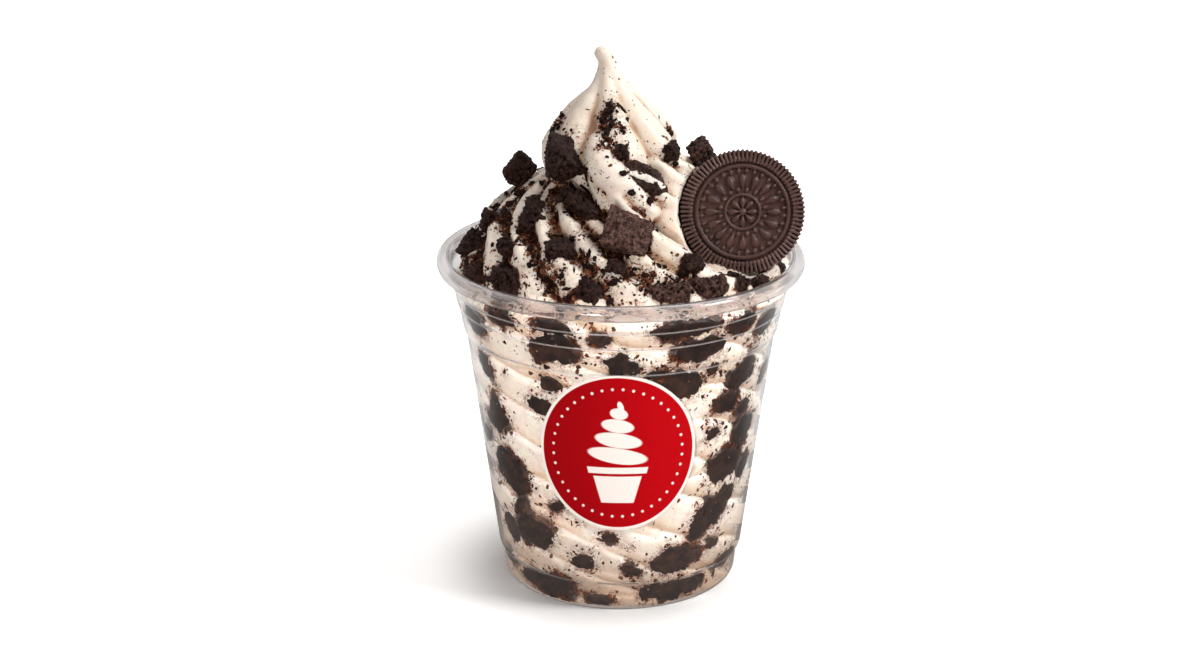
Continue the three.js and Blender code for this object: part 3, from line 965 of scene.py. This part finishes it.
class Nodes:
    """A node tree built step by step."""

    def __init__(self, tree, place):
        self.tree = tree
        self.place = self.node("TexCoord").outputs[place]

    def feed(self, socket, value):
        """Links a value into a socket or sets it there; a colour is given as red, green and blue."""
        if isinstance(value, bpy.types.NodeSocket):
            self.tree.links.new(value, socket)
        else:
            socket.default_value = (*value, 1) if socket.type == "RGBA" else value

    def node(self, kind, inputs=None, **settings):
        node = self.tree.nodes.new("ShaderNode" + kind)
        for key, value in settings.items():
            setattr(node, key, value)
        for key, value in (inputs or {}).items():
            self.feed(node.inputs[key], value)
        return node

    def cloud(self, scale, detail=3.0, rough=0.5, seed=0.0):
        """Noise from 0 to 1, for patches of the given size in mm."""
        inputs = {"Vector": self.place, "Scale": 1 / (scale * MM), "Detail": detail, "Roughness": rough}
        return self.node("TexNoise", {**inputs, "W": seed}, noise_dimensions="4D").outputs[0]

    def cells(self, scale):
        """Distance to the middles of scattered cells of the given size in mm."""
        inputs = {"Vector": self.place, "Scale": 1 / (scale * MM)}
        return self.node("TexVoronoi", inputs, feature="F1").outputs["Distance"]

    def ramp(self, value, low, high):
        inputs = {"Value": value, "From Min": low, "From Max": high}
        return self.node("MapRange", inputs, interpolation_type="SMOOTHSTEP").outputs[0]

    def sum(self, operation, first, second=0.0):
        return self.node("Math", {0: first, 1: second}, operation=operation).outputs[0]

    def times(self, first, second):
        return self.sum("MULTIPLY", first, second)

    def plus(self, first, second):
        return self.sum("ADD", first, second)

    def line(self, operation, inputs, output="Value"):
        return self.node("VectorMath", dict(enumerate(inputs)), operation=operation).outputs[output]

    def mixed(self, share, first, second, way="MIX"):
        inputs = {0: share, 6: first, 7: second}
        return self.node("Mix", inputs, data_type="RGBA", blend_type=way).outputs[2]

    def parts(self, place=None):
        return self.node("SeparateXYZ", {0: place or self.place}).outputs


class Paint(Nodes):
    """A surface material."""

    def __init__(self, name):
        self.material = bpy.data.materials.new(name)
        self.material.use_nodes = True
        super().__init__(self.material.node_tree, "Object")
        self.shader = self.tree.nodes["Principled BSDF"]

    def set(self, **values):
        for key, value in values.items():
            self.feed(self.shader.inputs[key.replace("_", " ")], value)

    def mark(self, name):
        return self.node("Attribute", attribute_name=name).outputs["Fac"]

    def bump(self, height, depth, strength=1.0):
        node = self.node("Bump", {"Height": height, "Distance": depth * MM, "Strength": strength})
        self.set(Normal=node.outputs[0])

    def show(self, share, plain, other):
        """Puts a mix of two shaders on the surface in place of the plain one."""
        mix = self.node("MixShader", {0: share, 1: plain, 2: other})
        self.tree.links.new(mix.outputs[0], self.tree.nodes["Material Output"].inputs["Surface"])


def paint_cream(name, light, shade):
    paint = Paint(name)
    fold_shade = paint.mark("fold_shade")
    dust = paint.mark("dust")
    stain = paint.mark("stain")
    colour = paint.mixed(paint.ramp(paint.cloud(14), 0.35, 0.75), light, shade)
    # Painted shade: tan in the folds and hollows, deep brown in the deepest of them
    colour = paint.mixed(paint.ramp(fold_shade, 0.0, 0.65), colour, (0.64, 0.46, 0.32))
    colour = paint.mixed(paint.ramp(fold_shade, 0.45, 0.9), colour, (0.38, 0.215, 0.125))
    haze = paint.times(dust, paint.ramp(paint.cloud(1.6, 5, 0.7), 0.42, 0.62))
    colour = paint.mixed(paint.times(haze, 0.8), colour, (0.30, 0.115, 0.055))
    ragged = paint.plus(stain, paint.times(paint.cloud(0.9, 6, 0.8, 5), 1.2))
    colour = paint.mixed(paint.ramp(ragged, 1.16, 1.3), colour, (0.17, 0.055, 0.024))
    colour = paint.mixed(paint.ramp(ragged, 1.3, 1.36), colour, (0.028, 0.010, 0.006))
    # The foot of the cup stands in its own shade
    shaded = paint.ramp(paint.parts()["Z"], 0.026, 0.002)
    colour = paint.mixed(shaded, colour, (0.60, 0.50, 0.42), "MULTIPLY")
    grain = paint.cells(0.42)
    thin = paint.ramp(paint.cloud(2.2, 2, 0.6, 3), 0.62, 0.5)
    size = paint.plus(paint.times(dust, 0.34), 0.055)
    speck = paint.ramp(paint.sum("SUBTRACT", paint.times(size, thin), grain), 0.0, 0.05)
    colour = paint.mixed(speck, colour, (0.075, 0.028, 0.016))
    paint.set(Base_Color=colour, Roughness=0.42)
    paint.set(Subsurface_Weight=0.35, Subsurface_Radius=(1.0, 0.55, 0.32), Subsurface_Scale=2.2 * MM)
    ripple_height = paint.plus(paint.cloud(2.4, 4, 0.55), paint.times(speck, 0.4))
    paint.bump(ripple_height, 0.22, 0.55)
    return paint.material


def paint_clear_plastic():
    paint = Paint("clear_plastic")
    paint.set(IOR=1.5, Transmission_Weight=1.0)
    # The rolled lip is painted greyer than the wall as painted shade, with fine bright rings drawn round it
    # as painted highlights
    parts = paint.parts()
    flat = paint.node("CombineXYZ", {0: parts["X"], 1: parts["Y"]}).outputs[0]
    out = paint.line("LENGTH", [flat])
    along = paint.plus(out, parts["Z"])
    rings = paint.ramp(paint.sum("SINE", paint.times(along, TURN / (1.05 * MM))), 0.35, 1.0)
    lip = paint.ramp(parts["Z"], 0.0862, 0.0872)
    lip_painted_shade = paint.mixed(lip, (0.985, 0.985, 0.985), (0.79, 0.75, 0.74))
    paint.set(Base_Color=lip_painted_shade, Roughness=paint.plus(0.03, paint.times(lip, 0.05)))
    haze = paint.times(lip, paint.plus(0.008, paint.times(rings, 0.13)))
    # The wall's ledges get thin pale lines, painted highlights where they catch the light
    for ledge, painted_light in ((8.5, 0.16), (70.5, 0.3), (78.0, 0.3), (82.5, 0.3)):
        away = paint.sum("ABSOLUTE", paint.sum("SUBTRACT", parts["Z"], ledge * MM))
        haze = paint.plus(haze, paint.times(paint.ramp(away, 0.34 * MM, 0.12 * MM), painted_light))
    # A milky white shader for the lip's faint haze and for the painted highlights
    milk_and_painted_highlight = paint.node("BsdfDiffuse", {"Color": (0.80, 0.76, 0.75)}).outputs[0]
    wall = paint.node("MixShader", {0: haze, 1: paint.shader.outputs[0], 2: milk_and_painted_highlight}).outputs[0]
    shadow = paint.node("LightPath").outputs["Is Shadow Ray"]
    clear = paint.node("BsdfTransparent", {"Color": (0.98, 0.98, 0.98)}).outputs[0]
    paint.show(shadow, wall, clear)
    return paint.material


def paint_broken():
    """Torn chocolate biscuit: near black in its pores, with paler grains whose tops are painted brighter as
    small highlights, and painted shade in its hollows.
    """
    paint = Paint("broken_biscuit")
    grain = paint.cells(0.5)
    coarse = paint.cloud(1.1, 6, 0.75)
    fold_shade = paint.mark("fold_shade")
    painted_light = paint.mark("painted_light")
    # Painted light: the pieces marked as facing the light are painted paler all over
    plain = paint.mixed(painted_light, (0.014, 0.004, 0.003), (0.34, 0.185, 0.15))
    pale_grain_and_glint = paint.mixed(painted_light, (0.11, 0.044, 0.03), (0.84, 0.58, 0.48))
    colour = paint.mixed(paint.ramp(coarse, 0.38, 0.62), (0.014, 0.005, 0.003), plain)
    # Painted highlights: the tops of the grains are painted brighter, partly as paler grain and partly as
    # glints
    colour = paint.mixed(
        paint.times(paint.ramp(grain, 0.36, 0.12), paint.ramp(coarse, 0.48, 0.66)),
        colour, pale_grain_and_glint,
    )
    # Painted shade: near black in the hollows of the broken faces
    colour = paint.mixed(paint.ramp(fold_shade, 0.0, 0.7), colour, (0.005, 0.002, 0.001))
    paint.set(Base_Color=colour, Roughness=0.6, Specular_IOR_Level=0.16)
    height = paint.plus(paint.times(coarse, 1.3), paint.times(grain, -0.6))
    paint.bump(height, 0.55, 0.9)
    return paint.material


def paint_pressed():
    """Chocolate biscuit wetted by the cream behind the wall."""
    paint = Paint("pressed_biscuit")
    wet = paint.ramp(paint.cloud(3, 5, 0.65), 0.38, 0.72)
    colour = paint.mixed(wet, (0.011, 0.006, 0.005), (0.055, 0.022, 0.015))
    spot = paint.ramp(paint.cells(1.9), 0.16, 0.05)
    spots = paint.times(spot, paint.ramp(paint.cloud(4), 0.5, 0.62))
    colour = paint.mixed(spots, colour, (0.5, 0.36, 0.27))
    paint.set(Base_Color=colour, Roughness=0.5)
    paint.bump(paint.cloud(0.8, 5, 0.7), 0.15, 0.5)
    return paint.material


def paint_biscuit():
    """Baked and moulded chocolate biscuit."""
    paint = Paint("moulded_biscuit")
    fine = paint.cloud(0.45, 5, 0.7)
    baked = paint.ramp(paint.cloud(3.5), 0.3, 0.7)
    colour = paint.mixed(baked, (0.055, 0.025, 0.021), (0.084, 0.039, 0.033))
    colour = paint.mixed(paint.ramp(fine, 0.54, 0.7), colour, (0.13, 0.07, 0.058))
    # Painted shade in the moulding's hollows and painted highlight along its crests
    colour = paint.mixed(paint.ramp(paint.mark("fold_shade"), 0.0, 0.6), colour, (0.008, 0.003, 0.003))
    colour = paint.mixed(paint.ramp(paint.mark("crest"), 0.15, 0.9), colour, (0.13, 0.070, 0.060))
    paint.set(Base_Color=colour, Roughness=0.42, Specular_IOR_Level=0.5)
    paint.bump(fine, 0.12, 0.5)
    return paint.material


def paint_crumb():
    paint = Paint("crumb")
    brown = paint.ramp(paint.cloud(2.2, 4, 0.7), 0.40, 0.66)
    colour = paint.mixed(brown, (0.020, 0.006, 0.003), (0.21, 0.066, 0.029))
    paint.set(Base_Color=colour, Roughness=0.7, Specular_IOR_Level=0.1)
    paint.bump(paint.cloud(0.2, 2), 0.06, 0.5)
    return paint.material


def paint_white_cream():
    paint = Paint("white_biscuit_cream")
    stained = paint.ramp(paint.cloud(1.5, 4), 0.35, 0.7)
    colour = paint.mixed(stained, (0.84, 0.80, 0.74), (0.70, 0.63, 0.55))
    dirt = paint.ramp(paint.cloud(0.9, 5, 0.7, 2), 0.6, 0.66)
    paint.set(Base_Color=paint.mixed(dirt, colour, (0.06, 0.025, 0.016)), Roughness=0.6)
    paint.bump(paint.cloud(0.6, 4), 0.15, 0.6)
    return paint.material


def paint_label():
    """Red film with a pale edge line, a ring of dots and a plain drawing of a swirl in a cup."""
    paint = Paint("label_print")
    flat = paint.node("UVMap").outputs[0]
    parts = paint.parts(flat)
    x, y = parts["X"], parts["Y"]
    out = paint.line("LENGTH", [flat])
    soft = 0.006

    def inside(distance, edge):
        return paint.ramp(distance, edge + soft, edge - soft)

    def either(*shares):
        made = shares[0]
        for share in shares[1:]:
            made = paint.sum("MAXIMUM", made, share)
        return made

    def oval(cx, cy, rx, ry, tilt=0.0):
        turned_flat = paint.node(
            "VectorRotate", {"Vector": flat, "Center": (cx, cy, 0), "Angle": tilt}, rotation_type="Z_AXIS"
        ).outputs[0]
        moved = paint.line("SUBTRACT", [turned_flat, (cx, cy, 0)], "Vector")
        scaled = paint.line("DIVIDE", [moved, (rx, ry, 1)], "Vector")
        return paint.ramp(paint.line("LENGTH", [scaled]), 1 + soft / ry, 1 - soft / ry)

    def slab(low, high, half_low, half_high):
        """A flat-topped shape between two heights, its half width changing evenly."""
        inputs = {"Value": y, "From Min": low, "From Max": high, "To Min": half_low, "To Max": half_high}
        half = paint.node("MapRange", inputs).outputs[0]
        side = paint.sum("SUBTRACT", paint.sum("ABSOLUTE", x), half)
        tall = paint.sum("ABSOLUTE", paint.sum("SUBTRACT", y, (low + high) / 2))
        return paint.times(inside(side, 0.0), inside(tall, (high - low) / 2))

    swirl_drawing = either(
        oval(0.0, -0.03, 0.37, 0.10, 0.14), oval(0.01, 0.17, 0.29, 0.095, 0.14),
        oval(0.0, 0.355, 0.20, 0.085, 0.14), oval(0.015, 0.51, 0.11, 0.07, 0.2),
        oval(0.035, 0.6, 0.035, 0.07, -0.35),
    )
    cup_drawing = either(slab(-0.26, -0.18, 0.36, 0.38), slab(-0.64, -0.295, 0.2, 0.3))
    turn = paint.sum("ARCTAN2", y, x)
    dots = 40
    ring = 0.82
    step = paint.sum("SUBTRACT", paint.sum("FRACT", paint.times(turn, dots / TURN)), 0.5)
    across = paint.times(step, TURN * ring / dots)
    away = paint.sum("SUBTRACT", out, ring)
    squares = paint.plus(paint.times(across, across), paint.times(away, away))
    beads = inside(paint.sum("SQRT", squares), 0.017)
    edge = paint.ramp(out, 0.958, 0.966)
    # Painted shade: the red is darker to the left and lighter to the right
    shade = paint.mixed(paint.ramp(x, -0.9, 0.7), (0.29, 0.0005, 0.003), (0.42, 0.001, 0.004))
    colour = paint.mixed(either(swirl_drawing, cup_drawing, beads, edge), shade, (0.80, 0.74, 0.70))
    paint.set(Base_Color=colour, Roughness=0.45, Specular_IOR_Level=0.04)
    paint.bump(paint.cloud(0.8, 3), 0.02, 0.3)
    return paint.material


def paint_floor():
    """A white table whose painted glow, seen straight and through the cup, is weaker near the cup's foot, so
    that it keeps its shadow close to the foot and is plain white further out.
    """
    paint = Paint("white_floor")
    paint.set(Base_Color=(0.82, 0.82, 0.82), Roughness=0.8, Specular_IOR_Level=0.05)
    rays = paint.node("LightPath").outputs
    seen = paint.sum("MAXIMUM", rays["Is Camera Ray"], rays["Is Transmission Ray"])
    out = paint.line("LENGTH", [paint.place])
    near = paint.times(paint.ramp(out, 0.030, 0.056), 0.5)
    far = paint.times(paint.ramp(out, 0.05, 0.2), 0.26)
    white = paint.plus(0.12, paint.plus(near, far))
    glow = paint.node("Emission", {"Strength": paint.times(seen, white)}).outputs[0]
    lit = paint.node("AddShader", {0: paint.shader.outputs[0], 1: glow}).outputs[0]
    # What shiny things mirror of it is a painted glow: dim in front, bright behind
    back = paint.ramp(paint.parts()["Y"], -0.02, 0.12)
    mirrored = paint.mixed(back, (0.06, 0.055, 0.05), (0.85, 0.85, 0.85))
    mirrored = paint.mixed(paint.ramp(out, 0.045, 0.1), (0.36, 0.31, 0.28), mirrored)
    dim = paint.node("Emission", {"Color": mirrored}).outputs[0]
    paint.show(rays["Is Glossy Ray"], lit, dim)
    return paint.material


# The moulding's hollows and crests, for painted shade and painted highlight
for piece in (biscuit_front, biscuit_back):
    hollow = hollow_of(piece, 5, 0.16)
    marked(piece, "fold_shade", hollow)
    marked(piece, "crest", -hollow)
# The broken pieces' hollows, for painted shade in their material
for piece in chunks:
    marked(piece, "fold_shade", hollow_of(piece, 6, 0.3))

bpy.ops.mesh.primitive_plane_add(size=8)
floor = named("studio_floor")
finishes = [
    # The filling is the same cream as the swirl, painted paler as painted light, for it gets less light
    # behind the wall
    (paint_cream("swirl_cream", (0.88, 0.79, 0.70), (0.85, 0.735, 0.615)), [swirl]),
    (paint_cream("filling_cream", (0.93, 0.87, 0.80), (0.90, 0.805, 0.71)), [filling]),
    (paint_broken(), [*chunks, crumbs[0]]),
    (paint_pressed(), sunk),
    (paint_crumb(), crumbs[1:]),
    (paint_white_cream(), [biscuit_filling, chunk_filling]),
    (paint_clear_plastic(), [cup]),
    (paint_label(), [label]),
    (paint_biscuit(), [biscuit_front, biscuit_back]),
    (paint_floor(), [floor]),
]
for material, pieces in finishes:
    for piece in pieces:
        piece.data.materials.clear()
        piece.data.materials.append(material)

# ---- Camera and light ----

bpy.ops.object.camera_add(
    location=[c * MM for c in CAMERA_PLACE], rotation=(math.radians(90 - CAMERA_TILT), 0, 0)
)
camera = bpy.context.object
camera.data.sensor_width = SENSOR
camera.data.lens = SENSOR * FOCAL / PICTURE_WIDTH
camera.data.clip_start = 0.01
bpy.context.scene.camera = camera


def lamp(name, place, aim, size, power, colour, spread=180, mirrored=True):
    direction = Vector(aim) - Vector(place)
    turn = direction.to_track_quat("-Z", "Y").to_euler()
    bpy.ops.object.light_add(type="AREA", location=place, rotation=turn)
    light = bpy.context.object
    light.name = name
    light.data.shape = "RECTANGLE"
    light.data.size, light.data.size_y = size
    light.data.energy = power
    light.data.color = colour
    light.data.spread = math.radians(spread)
    light.visible_camera = False
    light.visible_glossy = mirrored


lamp("key", (0.9, -0.32, 0.9), (0, 0, 0.08), (0.35, 0.35), 10.5, (1, 0.985, 0.965))
lamp("top", (0.3, 0.4, 1.2), (0, 0, 0.08), (0.9, 0.6), 3.5, (1, 1, 1))
lamp("front", (-0.3, -1.05, 0.08), (0, 0, 0.06), (0.5, 0.05), 0.12, (1, 0.96, 0.925), 12, False)

world = bpy.data.worlds.new("studio_air")
bpy.context.scene.world = world
world.use_nodes = True
sky = Nodes(world.node_tree, "Generated")

# The room is bright and white to the upper right and dim and warm to the left.
# Straight into the camera, and through the clear cup, it is plain white.
right = sky.ramp(sky.line("DOT_PRODUCT", [sky.place, (0.90, -0.22, 0.36)]), -0.85, 0.95)
room = sky.mixed(right, (0.15, 0.105, 0.08), (0.62, 0.61, 0.60))
behind = sky.ramp(sky.line("DOT_PRODUCT", [sky.place, (0, 0.8, 0.6)]), -0.25, 0.55)
mirrored = sky.mixed(behind, (0.05, 0.042, 0.038), (0.85, 0.85, 0.85))
path = sky.node("LightPath").outputs
gloss = sky.mixed(path["Is Glossy Ray"], room, mirrored)
straight = sky.sum("MAXIMUM", path["Is Camera Ray"], path["Is Transmission Ray"])
air = sky.tree.nodes["Background"]
sky.feed(air.inputs["Color"], sky.mixed(straight, gloss, (1, 1, 1)))
air.inputs["Strength"].default_value = 1.0

bpy.context.scene.view_settings.view_transform = "Standard"
